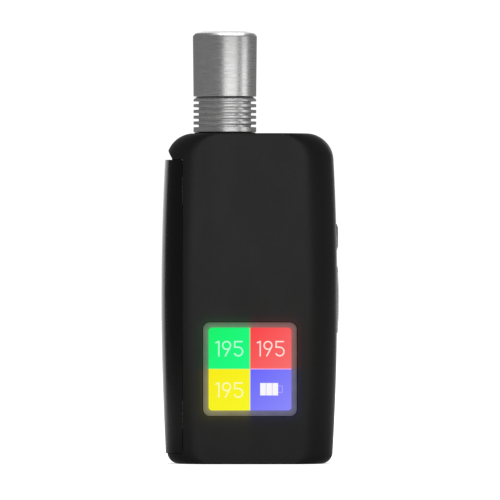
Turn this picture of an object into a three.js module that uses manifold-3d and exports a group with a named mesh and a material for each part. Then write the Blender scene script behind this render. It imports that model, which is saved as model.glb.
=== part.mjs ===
// A pocket vaporizer: an upright black housing with a finned metal stem plugged into its top,
// a small colour display in its front, a removable cover on its left end and two buttons on
// its right end. Millimetres. +Z is up, the display faces -Y, the cover is at -X, the buttons
// are at +X, and the origin is the centre of the bottom face.
import * as THREE from "three";
import { mergeVertices } from "three/addons/utils/BufferGeometryUtils.js";
import Module from "manifold-3d";

const wasm = await Module();
wasm.setup();

// ---- Driving dimensions ----

// The housing. Its plan is a rounded rectangle, and its two ends bow outwards with height.
const BODY = {
  height: 93.2,
  halfWidth: 24.6,
  widestAt: 46.8,
  bowRadius: 740,
  halfDepth: 13,
  planRadius: 9,
  topRadius: 7.2,
  bottomRadius: 3.1,
  edgeBreak: 0.35,
  wall: 1.5,
  floor: 1.6,
  ceiling: 91.4,
};

// The removable cover on the left end, which stands slightly proud of the housing.
const COVER = {
  seamX: -19,
  bottom: 2.9,
  top: 85.85,
  proud: 0.45,
  wall: 1.4,
  rim: 1.2,
  gap: 0.12,
};

// The stem's axis and its turned sizes. The fins are numbered from the collar upwards.
const STEM = {
  x: -7.1,
  tubeRadius: 6.8,
  coreRadius: 7.4,
  finRadius: 8.87,
  tubeBottom: 79.5,
  collarBottom: 93.6,
  collarTop: 95,
  finBottoms: [95.71, 97.34, 98.97, 100.6],
  finThickness: 0.92,
  coneBottom: 102.24,
  coneTop: 103.57,
  spigotRadius: 6,
  spigotTop: 109,
  mouthTop: 122.1,
  mouthShoulder: 120.75,
  mouthRadius: 9.05,
  neckRadius: 8.87,
  airwayRadius: 3.5,
  bowlRadius: 5,
  ringHeights: { lower: 82.2, upper: 87.4 },
};

// The display, behind its square lens in the front wall.
const DISPLAY = {
  z: 26.8,
  lens: 26.5,
  active: 23.6,
  moduleWidth: 26,
  moduleHeight: 29,
  cornerRadius: 2,
};

// Two cylindrical cells stand side by side behind the cover.
const CELL = {
  radius: 9.2,
  bottom: 4.3,
  top: 69,
  nubTop: 69.7,
  y: 1.2,
  outerX: -12.35,
  innerX: 6.15,
};

// The circuit board stands along the right end, with its switches facing the buttons.
const BOARD = {
  x0: 19.6,
  x1: 20.6,
  halfDepth: 7,
  bottom: 8,
  top: 84,
  screwZ: { upper: 76, lower: 27 },
};

const POWER = { z: 63.95, ringRadius: 3.65, capRadius: 3.02, capFace: 24.86, ringFace: 24.64 };
const ROCKER = { z: 46.2, length: 19, width: 4.4, face: 25.05, crownRadius: 150 };
const USB = { x: 17.93, width: 8.94, height: 3.26, bottom: 0.3, top: 7.6 };

// The flat magnets that hold the cover, and where they sit in it and in the battery frame.
const MAGNET = {
  heights: { lower: 14, upper: 77 },
  halfLength: 4,
  y: [-8.5, -6.9],
  coverX: [-20.25, -19.35],
  frameX: [-19.1, -17.85],
};

const FINE = 36; // sides of a turned piece that shows
const COARSE = 24; // sides of a turned piece inside

// ---- Solids ----

function toSolid(geometry) {
  const bare = geometry.clone();
  bare.deleteAttribute("normal");
  bare.deleteAttribute("uv");
  const merged = mergeVertices(bare, 1e-4);
  const mesh = new wasm.Mesh({
    numProp: 3,
    vertProperties: merged.getAttribute("position").array,
    triVerts: Uint32Array.from(merged.index.array),
  });
  return new wasm.Manifold(mesh);
}

function toGeometry(solid) {
  const mesh = solid.getMesh();
  const geometry = new THREE.BufferGeometry();
  geometry.setAttribute("position", new THREE.BufferAttribute(mesh.vertProperties, 3));
  geometry.setIndex(new THREE.BufferAttribute(mesh.triVerts, 1));
  const faceted = geometry.toNonIndexed();
  faceted.computeVertexNormals();
  return faceted;
}

function join(...geometries) {
  return toGeometry(geometries.map(toSolid).reduce((whole, next) => whole.add(next)));
}

function cut(geometry, ...tools) {
  return toGeometry(tools.map(toSolid).reduce((left, tool) => left.subtract(tool), toSolid(geometry)));
}

function common(first, second) {
  return toGeometry(toSolid(first).intersect(toSolid(second)));
}

// A box between two limits on each axis.
function box([x0, x1], [y0, y1], [z0, z1]) {
  const geometry = new THREE.BoxGeometry(x1 - x0, y1 - y0, z1 - z0);
  return geometry.translate((x0 + x1) / 2, (y0 + y1) / 2, (z0 + z1) / 2);
}

// Three extrusions, each named for the axis it runs along. Their outlines are drawn in
// (x, y), (x, z) and (y, z).
function prismZ(outline, z0, z1) {
  return extrude(outline, z1 - z0).translate(0, 0, z0);
}

function prismY(outline, y0, y1) {
  return extrude(outline, y1 - y0).rotateX(Math.PI / 2).translate(0, y1, 0);
}

function prismX(outline, x0, x1) {
  return extrude(outline, x1 - x0).rotateX(Math.PI / 2).rotateZ(Math.PI / 2).translate(x0, 0, 0);
}

function extrude(outline, depth) {
  return new THREE.ExtrudeGeometry(outline, { depth, bevelEnabled: false, curveSegments: 8 });
}

// A polygon through a list of [x, y] corners.
function polygon(corners) {
  return new THREE.Shape(corners.map(([x, y]) => new THREE.Vector2(x, y)));
}

// A rectangle with round corners, centred on (cx, cy).
function roundedRectangle(width, height, radius, cx = 0, cy = 0) {
  const right = cx + width / 2;
  const left = cx - width / 2;
  const top = cy + height / 2;
  const bottom = cy - height / 2;
  const shape = new THREE.Shape();
  shape.moveTo(left + radius, bottom);
  shape.lineTo(right - radius, bottom);
  shape.absarc(right - radius, bottom + radius, radius, -Math.PI / 2, 0);
  shape.lineTo(right, top - radius);
  shape.absarc(right - radius, top - radius, radius, 0, Math.PI / 2);
  shape.lineTo(left + radius, top);
  shape.absarc(left + radius, top - radius, radius, Math.PI / 2, Math.PI);
  shape.lineTo(left, bottom + radius);
  shape.absarc(left + radius, bottom + radius, radius, Math.PI, 1.5 * Math.PI);
  return shape;
}

// A closed [radius, z] profile turned about the Z axis. It is listed anticlockwise.
function turned(profile, sides = COARSE) {
  const points = [...profile, profile[0]].map(([radius, z]) => new THREE.Vector2(radius, z));
  return new THREE.LatheGeometry(points, sides).rotateX(Math.PI / 2);
}

function tube(innerRadius, outerRadius, z0, z1, sides = COARSE) {
  const profile = [
    [innerRadius, z0],
    [outerRadius, z0],
    [outerRadius, z1],
    [innerRadius, z1],
  ];
  return turned(profile, sides);
}

function rod(radius, z0, z1, sides = COARSE) {
  const geometry = new THREE.CylinderGeometry(radius, radius, z1 - z0, sides);
  return geometry.rotateX(Math.PI / 2).translate(0, 0, (z0 + z1) / 2);
}

// A rod along X, from x0 to x1, centred on (y, z).
function rodX(radius, x0, x1, y, z, sides = COARSE) {
  return rod(radius, x0, x1, sides).rotateY(Math.PI / 2).translate(0, y, z);
}

// ---- The housing's outline ----

// Half the width of the bowed ends at a height, before the corners are rounded.
function bowedHalfWidth(z) {
  const rise = z - BODY.widestAt;
  return BODY.halfWidth - BODY.bowRadius + Math.sqrt(BODY.bowRadius ** 2 - rise ** 2);
}

// How far a quarter round has drawn in after running `run` into its radius.
function cornerInset(radius, run) {
  const into = Math.min(Math.max(run, 0), radius);
  return radius - Math.sqrt(radius ** 2 - into ** 2);
}

// Heights for the rings of a bowed block: close together in the corners, sparse between,
// with one at the widest level.
function ringHeights({ bottom, top, bottomRadius, topRadius, edgeBreak }) {
  const heights = new Set();
  const add = (z) => heights.add(Number(z.toFixed(4)));
  const sideBottom = bottom + bottomRadius;
  const sideTop = top - topRadius;
  for (let i = 0; i <= 3; i += 1) {
    add(sideBottom - bottomRadius * Math.cos((i / 3) * (Math.PI / 2)));
    add(sideBottom + ((BODY.widestAt - sideBottom) * i) / 3);
    add(BODY.widestAt + ((sideTop - BODY.widestAt) * i) / 3);
  }
  for (let i = 0; i <= 5; i += 1) {
    add(sideTop + topRadius * Math.sin((i / 5) * (Math.PI / 2)));
  }
  add(bottom + edgeBreak);
  add(top - edgeBreak);
  return [...heights].sort((a, b) => a - b);
}

// A block with the housing's rounded plan whose two ends follow its bow and corners. The
// ends slide along X with height, so the front and back stay flat. `inset` draws every
// side in, and `slide` moves only the ends outwards.
function bowedBlock({ inset = 0, slide = 0, edgeBreak = 0, ...span }) {
  const { bottom, top, bottomRadius, topRadius } = span;
  const heights = ringHeights({ ...span, edgeBreak });
  const width = 2 * (BODY.halfWidth - inset);
  const depth = 2 * (BODY.halfDepth - inset);
  const plan = roundedRectangle(width, depth, BODY.planRadius - inset);
  const steps = heights.length - 1;
  const options = { depth: 1, steps, bevelEnabled: false, curveSegments: 5 };
  const geometry = new THREE.ExtrudeGeometry(plan, options);
  const position = geometry.getAttribute("position");
  for (let i = 0; i < position.count; i += 1) {
    const z = heights[Math.round(position.getZ(i) * steps)];
    const bow = BODY.halfWidth - bowedHalfWidth(z);
    const bottomCorner = cornerInset(bottomRadius, bottom + bottomRadius - z);
    const topCorner = cornerInset(topRadius, z - top + topRadius);
    const endShift = slide - bow - bottomCorner - topCorner;
    const bevel = Math.max(0, edgeBreak - (z - bottom), edgeBreak - (top - z));
    const x = position.getX(i) + Math.sign(position.getX(i)) * endShift;
    const y = position.getY(i) - Math.sign(position.getY(i)) * bevel;
    position.setXYZ(i, x, y, z);
  }
  return geometry;
}

function housingBlock(slide = 0) {
  return bowedBlock({
    slide,
    bottom: 0,
    top: BODY.height,
    bottomRadius: BODY.bottomRadius,
    topRadius: BODY.topRadius,
    edgeBreak: BODY.edgeBreak,
  });
}

const LEFT_OF_SEAM = [-30, COVER.seamX];
const FULL_DEPTH = [-20, 20];

// The groove under the housing's lip, where a fingernail lifts the cover's top edge.
function nailGroove() {
  const outline = polygon([
    [-22, COVER.top - 0.01],
    [-22, 86.1],
    [-22.5, 87],
    [-22.82, 87.68],
    [-22.98, 88.15],
    [-23.6, 88.85],
    [-28, 88.85],
    [-28, COVER.top - 0.01],
  ]);
  return prismY(outline, ...FULL_DEPTH);
}

// The housing: one bowed shell, solid at its left lip and sill, open between them.
function bodyShell() {
  const cavity = bowedBlock({
    inset: BODY.wall,
    bottom: BODY.floor,
    top: BODY.ceiling,
    bottomRadius: BODY.bottomRadius - BODY.wall,
    topRadius: BODY.topRadius - BODY.wall,
  });
  const lip = box(LEFT_OF_SEAM, FULL_DEPTH, [COVER.top, BODY.height]);
  const sill = box(LEFT_OF_SEAM, FULL_DEPTH, [0, COVER.bottom]);
  const bosses = Object.values(BOARD.screwZ).map((z) => rodX(1.8, BOARD.x1 + 0.1, 24, 0, z, 16));
  const hollow = cut(cavity, lip, sill, ...bosses);
  const coverOpening = box(LEFT_OF_SEAM, FULL_DEPTH, [COVER.bottom, COVER.top]);
  const screwHoles = Object.values(BOARD.screwZ).map((z) => rodX(0.85, 20, 22.4, 0, z, 16));
  const lensOpening = roundedRectangle(
    DISPLAY.lens + 0.24,
    DISPLAY.lens + 0.24,
    DISPLAY.cornerRadius + 0.12,
    0,
    DISPLAY.z,
  );
  const rockerOpening = roundedRectangle(
    ROCKER.width + 0.36,
    ROCKER.length + 0.5,
    ROCKER.width / 2 + 0.17,
    0,
    ROCKER.z,
  );
  const usbOpening = roundedRectangle(USB.height + 0.3, USB.width + 0.3, 1.7, USB.x, 0);
  return cut(
    housingBlock(),
    hollow,
    coverOpening,
    nailGroove(),
    prismY(lensOpening, -20, -8),
    prismX(rockerOpening, 21, 30),
    rodX(POWER.ringRadius + 0.08, 21, 30, 0, POWER.z, 32),
    rod(8.05, 90, 100, FINE).translate(STEM.x, 0, 0),
    prismZ(usbOpening, -2, 4),
    ...screwHoles,
  );
}

// The cover: the left end of the same block, slid out and hollowed, with a closed rim at
// its top and bottom and a boss behind each magnet.
function sideCover() {
  const outer = common(
    housingBlock(COVER.proud),
    box(
      [-30, COVER.seamX - COVER.gap],
      FULL_DEPTH,
      [COVER.bottom + COVER.gap, COVER.top - COVER.gap],
    ),
  );
  const inner = bowedBlock({
    inset: COVER.wall,
    bottom: COVER.bottom + COVER.rim,
    top: COVER.top - COVER.rim,
    bottomRadius: 0.5,
    topRadius: 0.5,
  });
  const bosses = Object.values(MAGNET.heights).map((z) =>
    box([-24, MAGNET.coverX[0] - 0.05], [-10.5, -6.4], [z - 5, z + 5]),
  );
  return cut(outer, cut(inner, ...bosses));
}

function magnet(xSpan, z) {
  return box(xSpan, MAGNET.y, [z - MAGNET.halfLength, z + MAGNET.halfLength]);
}

// ---- The stem ----

// The finned part: a tube that plugs into the heater, a collar that rests on the seal, thin
// fins, and a spigot that the mouthpiece sits on.
function coolingStem() {
  const grooved = [];
  for (const z of Object.values(STEM.ringHeights)) {
    grooved.push([STEM.tubeRadius, z - 0.7], [6.1, z - 0.7]);
    grooved.push([6.1, z + 0.7], [STEM.tubeRadius, z + 0.7]);
  }
  const fins = [];
  for (const z of STEM.finBottoms) {
    const top = z + STEM.finThickness;
    fins.push([STEM.coreRadius, z], [STEM.finRadius, z + 0.1]);
    fins.push([STEM.finRadius, top - 0.1], [STEM.coreRadius, top]);
  }
  return turned(
    [
      [STEM.bowlRadius, STEM.tubeBottom],
      [STEM.tubeRadius - 0.4, STEM.tubeBottom],
      [STEM.tubeRadius, STEM.tubeBottom + 0.4],
      ...grooved,
      [STEM.tubeRadius, STEM.collarBottom],
      [STEM.finRadius - 0.15, STEM.collarBottom],
      [STEM.finRadius, STEM.collarBottom + 0.15],
      [STEM.finRadius, STEM.collarTop - 0.25],
      [STEM.finRadius - 0.3, STEM.collarTop],
      [STEM.coreRadius, STEM.collarTop],
      ...fins,
      [STEM.coreRadius, STEM.coneBottom],
      [STEM.finRadius - 0.25, STEM.coneBottom],
      [STEM.finRadius, STEM.coneBottom + 0.25],
      [STEM.finRadius, STEM.coneBottom + 0.65],
      [8.05, STEM.coneTop],
      [STEM.spigotRadius, STEM.coneTop],
      [STEM.spigotRadius, STEM.spigotTop],
      [STEM.airwayRadius, STEM.spigotTop],
      [STEM.airwayRadius, 88.6],
      [STEM.bowlRadius, 88.6],
    ],
    FINE,
  );
}

// The mouthpiece: a turned cylinder, slightly narrower below, with a chamfered and domed lip.
function mouthpiece() {
  const bottom = STEM.coneTop + 0.2;
  return turned(
    [
      [STEM.spigotRadius + 0.15, bottom],
      [STEM.neckRadius - 0.1, bottom],
      [STEM.neckRadius, bottom + 0.1],
      [STEM.mouthRadius, STEM.mouthShoulder],
      [STEM.mouthRadius - 0.7, STEM.mouthShoulder + 0.8],
      [6.8, STEM.mouthTop - 0.2],
      [5.4, STEM.mouthTop],
      [4.8, STEM.mouthTop - 0.1],
      [4.5, STEM.mouthTop - 0.5],
      [4.5, 109.4],
      [STEM.spigotRadius + 0.15, 109.4],
    ],
    FINE,
  );
}

// A ring of round section in one of the tube's grooves.
function sealingRing(z) {
  return new THREE.TorusGeometry(6.78, 0.52, 8, COARSE).translate(0, 0, z);
}

// The ring in the top face that the stem passes through, with a thin flange above it.
function stemSeal() {
  const top = BODY.height + 0.3;
  return turned(
    [
      [7.5, 91.2],
      [7.85, 91.2],
      [7.85, BODY.height + 0.04],
      [8.6, BODY.height + 0.04],
      [8.6, top - 0.1],
      [8.5, top],
      [7.5, top],
    ],
    36,
  );
}

// ---- The heater below the stem ----

function heaterCup() {
  return turned([
    [0, 75.6],
    [8.3, 75.6],
    [8.3, 90.6],
    [7.45, 90.6],
    [7.45, 76.6],
    [0, 76.6],
  ]);
}

// ---- The battery bay ----

function cell(x) {
  const can = rod(CELL.radius, CELL.bottom, CELL.top);
  const nub = rod(3, CELL.top - 0.5, CELL.nubTop, 20);
  return join(can, nub).translate(x, CELL.y, 0);
}

// A leaf contact: a flat strip with a raised middle that presses on the cell's base.
function contactSpring(x) {
  const outline = polygon([
    [x - 5, 3.15],
    [x - 3.5, 3.15],
    [x - 1.5, 3.95],
    [x + 1.5, 3.95],
    [x + 3.5, 3.15],
    [x + 5, 3.15],
    [x + 5, 3.4],
    [x + 3.6, 3.4],
    [x + 1.6, 4.2],
    [x - 1.6, 4.2],
    [x - 3.6, 3.4],
    [x - 5, 3.4],
  ]);
  return prismY(outline, CELL.y - 3, CELL.y + 3);
}

function contactPlate(x) {
  return box([x - 4, x + 4], [CELL.y - 4, CELL.y + 4], [69.85, 70.3]);
}

// The tray: a front web behind the display, a floor, a deck above the cells and an inner end.
function batteryFrame() {
  const xSpan = [-17.7, 16.1];
  const ySpan = [-8.3, 10.3];
  return join(
    box(xSpan, [-9.4, -8.2], [1.9, 71.6]),
    box(xSpan, ySpan, [1.9, 3.05]),
    box(xSpan, ySpan, [70.4, 71.6]),
    box([15.5, 16.1], ySpan, [2, 71]),
  );
}

// ---- The display ----

function displayBezel() {
  const width = DISPLAY.lens - 0.1;
  const outline = roundedRectangle(width, width, DISPLAY.cornerRadius, 0, DISPLAY.z);
  outline.holes.push(roundedRectangle(DISPLAY.active, DISPLAY.active, 1, 0, DISPLAY.z));
  return prismY(outline, -11.85, -11.55);
}

function displayLens() {
  const outline = roundedRectangle(DISPLAY.lens, DISPLAY.lens, DISPLAY.cornerRadius, 0, DISPLAY.z);
  return prismY(outline, -12.98, -11.9);
}

// ---- The buttons on the right end ----

// A round cap, slightly domed, on a flange that keeps it in the housing.
function powerButton() {
  const cap = turned(
    [
      [0, 22.1],
      [4, 22.1],
      [4, 22.55],
      [POWER.capRadius, 22.55],
      [POWER.capRadius, POWER.capFace - 0.25],
      [POWER.capRadius - 0.35, POWER.capFace - 0.05],
      [1.2, POWER.capFace],
      [0, POWER.capFace],
    ],
    32,
  );
  return cap.rotateY(Math.PI / 2).translate(0, 0, POWER.z);
}

function powerButtonRing() {
  const ring = turned(
    [
      [3.15, 22.95],
      [POWER.ringRadius, 22.95],
      [POWER.ringRadius, POWER.ringFace - 0.12],
      [POWER.ringRadius - 0.12, POWER.ringFace],
      [3.15, POWER.ringFace],
    ],
    36,
  );
  return ring.rotateY(Math.PI / 2).translate(0, 0, POWER.z);
}

// The long rocker: a crowned bar with round ends, a flange that keeps it in the housing and
// a ridge at its middle that it rocks on.
function rockerButton() {
  const half = ROCKER.length / 2;
  const crown = [];
  for (let i = -4; i <= 4; i += 1) {
    const z = (half + 0.5) * (i / 4);
    crown.push([ROCKER.face - z ** 2 / (2 * ROCKER.crownRadius), ROCKER.z + z]);
  }
  const side = polygon([[22.3, crown[0][1]], ...crown, [22.3, crown[8][1]]]);
  const bar = roundedRectangle(ROCKER.width, ROCKER.length, ROCKER.width / 2 - 0.01, 0, ROCKER.z);
  const flange = roundedRectangle(5.6, ROCKER.length + 1.6, 2.79, 0, ROCKER.z);
  return join(
    common(prismY(side, -4, 4), prismX(bar, 22, 26)),
    prismX(flange, 22.1, 22.5),
    box([20.75, 22.3], [-2, 2], [ROCKER.z - 0.4, ROCKER.z + 0.4]),
  );
}

// A tactile switch on the board, with its plunger towards the button.
function tactileSwitch(z) {
  const can = box([BOARD.x1 + 0.03, 21.5], [-1.9, 1.9], [z - 1.9, z + 1.9]);
  return join(can, rodX(1, 21.4, 21.8, 0, z, 16));
}

// ---- The circuit board ----

function mainBoard() {
  const outline = roundedRectangle(
    2 * BOARD.halfDepth,
    BOARD.top - BOARD.bottom,
    1,
    0,
    (BOARD.top + BOARD.bottom) / 2,
  );
  const holes = Object.values(BOARD.screwZ).map((z) => rodX(0.95, 19, 21, 0, z, 16));
  return cut(prismX(outline, BOARD.x0, BOARD.x1), ...holes);
}

function boardScrew(z) {
  const head = rodX(1.5, 18.7, BOARD.x0 - 0.05, 0, z, 16);
  const shank = rodX(0.7, 19, 22.1, 0, z, 16);
  const slot = box([18, 19.05], [-2, 2], [z - 0.2, z + 0.2]);
  return cut(join(head, shank), slot);
}

// The charging socket: a thin oval shell, open at the bottom face and closed behind.
function usbPort() {
  const shell = roundedRectangle(USB.height, USB.width, USB.height / 2 - 0.05, USB.x, 0);
  const mouth = roundedRectangle(USB.height - 0.6, USB.width - 0.6, USB.height / 2 - 0.35, USB.x, 0);
  return cut(prismZ(shell, USB.bottom, USB.top), prismZ(mouth, USB.bottom - 1, USB.top - 0.6));
}

// ---- Finishes ----

function finish(color, roughness, metalness) {
  return () => new THREE.MeshStandardMaterial({ color, roughness, metalness });
}

const FINISH = {
  blackCoat: finish(0x1d1e1d, 0.62, 0),
  blackGloss: finish(0x121312, 0.22, 0),
  blackPlastic: finish(0x202020, 0.6, 0),
  blackRubber: finish(0x0c0c0c, 0.85, 0),
  turnedSteel: finish(0xc8c8c8, 0.28, 1),
  satinMetal: finish(0xa8a8a6, 0.4, 1),
  nickel: finish(0xb9b6ae, 0.35, 1),
  magnet: finish(0xc0c0c2, 0.25, 1),
  meshSteel: finish(0x8c8c8c, 0.5, 1),
  glass: finish(0x2a2a2c, 0.05, 0),
  paleBezel: finish(0x80807c, 0.5, 0),
  panel: finish(0x7f7fe8, 0.4, 0),
  cellWrap: finish(0x2f6f8f, 0.5, 0),
  ribbon: finish(0x8a1f1f, 0.9, 0),
  insulation: finish(0xd9d2c0, 0.8, 0),
  ceramic: finish(0xe6e2d8, 0.45, 0),
  boardGreen: finish(0x14502c, 0.5, 0),
  chip: finish(0x151515, 0.5, 0),
};

function piece(name, geometry, makeMaterial) {
  const mesh = new THREE.Mesh(geometry, makeMaterial());
  mesh.name = name;
  return mesh;
}

// ---- Assembly ----

const group = new THREE.Group();

group.add(
  piece("body_shell", bodyShell(), FINISH.blackCoat),
  piece("side_cover", sideCover(), FINISH.blackGloss),
);

for (const [place, z] of Object.entries(MAGNET.heights)) {
  group.add(
    piece(`cover_magnet_${place}`, magnet(MAGNET.coverX, z), FINISH.magnet),
    piece(`frame_magnet_${place}`, magnet(MAGNET.frameX, z), FINISH.magnet),
  );
}

group.add(piece("battery_frame", batteryFrame(), FINISH.blackPlastic));
for (const [place, x] of [["outer", CELL.outerX], ["inner", CELL.innerX]]) {
  group.add(
    piece(`battery_cell_${place}`, cell(x), FINISH.cellWrap),
    piece(`contact_spring_${place}`, contactSpring(x), FINISH.nickel),
    piece(`contact_plate_${place}`, contactPlate(x), FINISH.nickel),
  );
}
group.add(piece("pull_ribbon", box([-17.6, 15], [10.6, 10.85], [34, 40]), FINISH.ribbon));

// Everything turned about the stem's axis.
const column = new THREE.Group();
column.position.x = STEM.x;
column.add(
  piece("mouthpiece", mouthpiece(), FINISH.turnedSteel),
  piece("cooling_stem", coolingStem(), FINISH.turnedSteel),
  piece("stem_screen", rod(4.8, 87.9, 88.3), FINISH.meshSteel),
  piece("stem_oring_lower", sealingRing(STEM.ringHeights.lower), FINISH.blackRubber),
  piece("stem_oring_upper", sealingRing(STEM.ringHeights.upper), FINISH.blackRubber),
  piece("stem_seal", stemSeal(), FINISH.blackRubber),
  piece("heater_cup", heaterCup(), FINISH.satinMetal),
  piece("heating_element", rod(7.6, 73, 75.4), FINISH.ceramic),
  piece("heater_sleeve", tube(9, 10.5, 72.9, 90.9), FINISH.insulation),
);
group.add(column);
const shield = box([-18.4, 4.2], [-10.5, 10.5], [71.75, 72.75]);
group.add(piece("heat_shield", shield, FINISH.insulation));

const moduleOutline = roundedRectangle(
  DISPLAY.moduleWidth,
  DISPLAY.moduleHeight,
  0.5,
  0,
  DISPLAY.z - 0.8,
);
group.add(
  piece("display_lens", displayLens(), FINISH.glass),
  piece("display_bezel", displayBezel(), FINISH.paleBezel),
  piece("display_panel", prismY(moduleOutline, -11.4, -9.7), FINISH.panel),
);

group.add(
  piece("power_button", powerButton(), FINISH.satinMetal),
  piece("power_button_ring", powerButtonRing(), FINISH.satinMetal),
  piece("rocker_button", rockerButton(), FINISH.satinMetal),
  piece("power_switch", tactileSwitch(POWER.z), FINISH.chip),
  piece("rocker_switch_upper", tactileSwitch(ROCKER.z + 6.5), FINISH.chip),
  piece("rocker_switch_lower", tactileSwitch(ROCKER.z - 6.5), FINISH.chip),
);

group.add(
  piece("main_board", mainBoard(), FINISH.boardGreen),
  piece("controller_chip", box([18.6, 19.55], [-3.5, 3.5], [36, 43]), FINISH.chip),
  piece("power_inductor", box([16.7, 19.5], [-3.2, 3.2], [50, 56.4]), FINISH.chip),
  piece("haptic_motor", rodX(4, 16.8, 19.5, 0, 65), FINISH.nickel),
  piece("board_screw_upper", boardScrew(BOARD.screwZ.upper), FINISH.nickel),
  piece("board_screw_lower", boardScrew(BOARD.screwZ.lower), FINISH.nickel),
  piece("usb_port", usbPort(), FINISH.nickel),
  piece("usb_tongue", box([USB.x - 0.35, USB.x + 0.35], [-3.3, 3.3], [1.1, 6.9]), FINISH.chip),
);

export default group;
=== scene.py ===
"""The look of a pocket vaporizer: a black box with a finned metal stem and a small display.

The CAD model is the frame. Its visible pieces are replaced by finer ones of the same size, and
the pieces inside are dressed or replaced too, since they show when the cover or stem is off.
Lengths in the tables below are millimetres in the CAD frame: +Z up, display towards -Y.
"""

import math

import bmesh
import bpy
from mathutils import Matrix, Vector


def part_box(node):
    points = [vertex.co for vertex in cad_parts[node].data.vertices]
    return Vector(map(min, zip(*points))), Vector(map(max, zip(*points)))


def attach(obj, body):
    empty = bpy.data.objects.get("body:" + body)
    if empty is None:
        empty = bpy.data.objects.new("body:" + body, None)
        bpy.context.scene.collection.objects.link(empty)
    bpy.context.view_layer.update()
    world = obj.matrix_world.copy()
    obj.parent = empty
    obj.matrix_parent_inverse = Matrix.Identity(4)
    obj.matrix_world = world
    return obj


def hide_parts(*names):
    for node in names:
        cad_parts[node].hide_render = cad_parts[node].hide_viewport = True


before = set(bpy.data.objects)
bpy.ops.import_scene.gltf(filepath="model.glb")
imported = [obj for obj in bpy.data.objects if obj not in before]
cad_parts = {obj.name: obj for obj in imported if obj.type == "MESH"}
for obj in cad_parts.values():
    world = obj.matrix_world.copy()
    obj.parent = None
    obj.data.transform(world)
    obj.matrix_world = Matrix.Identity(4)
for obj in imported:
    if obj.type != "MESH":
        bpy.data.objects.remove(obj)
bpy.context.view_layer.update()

MM = 0.001

# ---- Dimensions shared with the CAD model, in millimetres ----

BODY_HEIGHT = 93.2
BODY_HALF_WIDTH = 24.6
BODY_WIDEST_AT = 46.8
BODY_BOW_RADIUS = 740
BODY_HALF_DEPTH = 13
BODY_PLAN_RADIUS = 9
BODY_TOP_RADIUS = 7.2
BODY_BOTTOM_RADIUS = 3.1
BODY_EDGE_RADIUS = 0.35
BODY_WALL = 1.5
BODY_FLOOR = 1.6
BODY_CEILING = 91.4

SEAM_X = -19
COVER_BOTTOM = 2.9
COVER_TOP = 85.85
COVER_PROUD = 0.45
COVER_WALL = 1.4
COVER_RIM = 1.2
COVER_GAP = 0.12

STEM_X = -7.1
CORE_RADIUS = 7.4
FIN_RADIUS = 8.87
FIN_BOTTOMS = (95.71, 97.34, 98.97, 100.6)
FIN_THICKNESS = 0.92
TUBE_RADIUS = 6.8
SEAL_GROOVES = {"lower": 82.2, "upper": 87.4}
MOUTH_BOTTOM = 103.64

DISPLAY_Z = 26.8
LENS_SIZE = 26.5
LENS_RADIUS = 2
LIT_SIZE = 23.3
LIT_FACE = -11.42

POWER_Z = 63.95
ROCKER_Z = 46.2
ROCKER_WIDTH = 4.4
ROCKER_LENGTH = 19
ROCKER_END_RADIUS = 2.19
ROCKER_FACE = 25.05
MAGNET_HEIGHTS = (14, 77)
SCREW_HEIGHTS = {"upper": 76, "lower": 27}

# The nail groove's section from under the lip to outside the housing, as (x, z).
NAIL_GROOVE = (
    (-22, 86.1),
    (-22.24, 86.52),
    (-22.5, 87),
    (-22.72, 87.45),
    (-22.87, 87.82),
    (-22.96, 88.12),
    (-23.1, 88.42),
    (-23.6, 88.95),
)

# Each tile's side, level, upper left colour, lower right colour and the colour of its digits.
TILES = {
    "tile_green": (-1, 1, (0.0, 0.92, 0.14), (0.004, 1.0, 0.25), (0.5, 1.0, 0.74)),
    "tile_red": (1, 1, (1.0, 0.05, 0.055), (0.98, 0.16, 0.16), (1.0, 0.78, 0.72)),
    "tile_yellow": (-1, -1, (0.98, 0.87, 0.0), (0.97, 0.97, 0.01), (1.0, 1.0, 0.5)),
    "tile_blue": (1, -1, (0.14, 0.135, 1.0), (0.27, 0.26, 1.0), (0.98, 0.96, 1.0)),
}


# ---- Mesh helpers ----


def loft(rings):
    """A closed solid through rings of equal length, capped at both ends. Points are in mm."""
    bm = bmesh.new()
    rows = [[bm.verts.new(Vector(point) * MM) for point in ring] for ring in rings]
    count = len(rows[0])
    for lower, upper in zip(rows, rows[1:]):
        for i in range(count):
            j = (i + 1) % count
            bm.faces.new((lower[i], lower[j], upper[j], upper[i]))
    bm.faces.new(rows[0][::-1])
    bm.faces.new(rows[-1])
    bmesh.ops.recalc_face_normals(bm, faces=bm.faces)
    return bm


def lathe(profile, sides=96, centre=(0, 0)):
    """A closed (radius, z) profile turned about an upright axis. A radius of 0 is on the axis."""
    bm = bmesh.new()
    rows = []
    for radius, z in profile:
        if radius < 1e-6:
            rows.append([bm.verts.new(Vector((centre[0], centre[1], z)) * MM)])
            continue
        row = []
        for i in range(sides):
            angle = math.tau * i / sides
            x = centre[0] + radius * math.cos(angle)
            y = centre[1] + radius * math.sin(angle)
            row.append(bm.verts.new(Vector((x, y, z)) * MM))
        rows.append(row)
    for lower, upper in zip(rows, rows[1:] + rows[:1]):
        join_rows(bm, lower, upper, sides)
    bmesh.ops.recalc_face_normals(bm, faces=bm.faces)
    return bm


def join_rows(bm, lower, upper, sides):
    """Faces between two rows of a turned shape. A row of one vertex is a point on the axis."""
    if len(lower) == 1 and len(upper) == 1:
        return
    for i in range(sides):
        j = (i + 1) % sides
        if len(lower) == 1:
            bm.faces.new((lower[0], upper[j], upper[i]))
        elif len(upper) == 1:
            bm.faces.new((lower[i], lower[j], upper[0]))
        else:
            bm.faces.new((lower[i], lower[j], upper[j], upper[i]))


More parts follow.
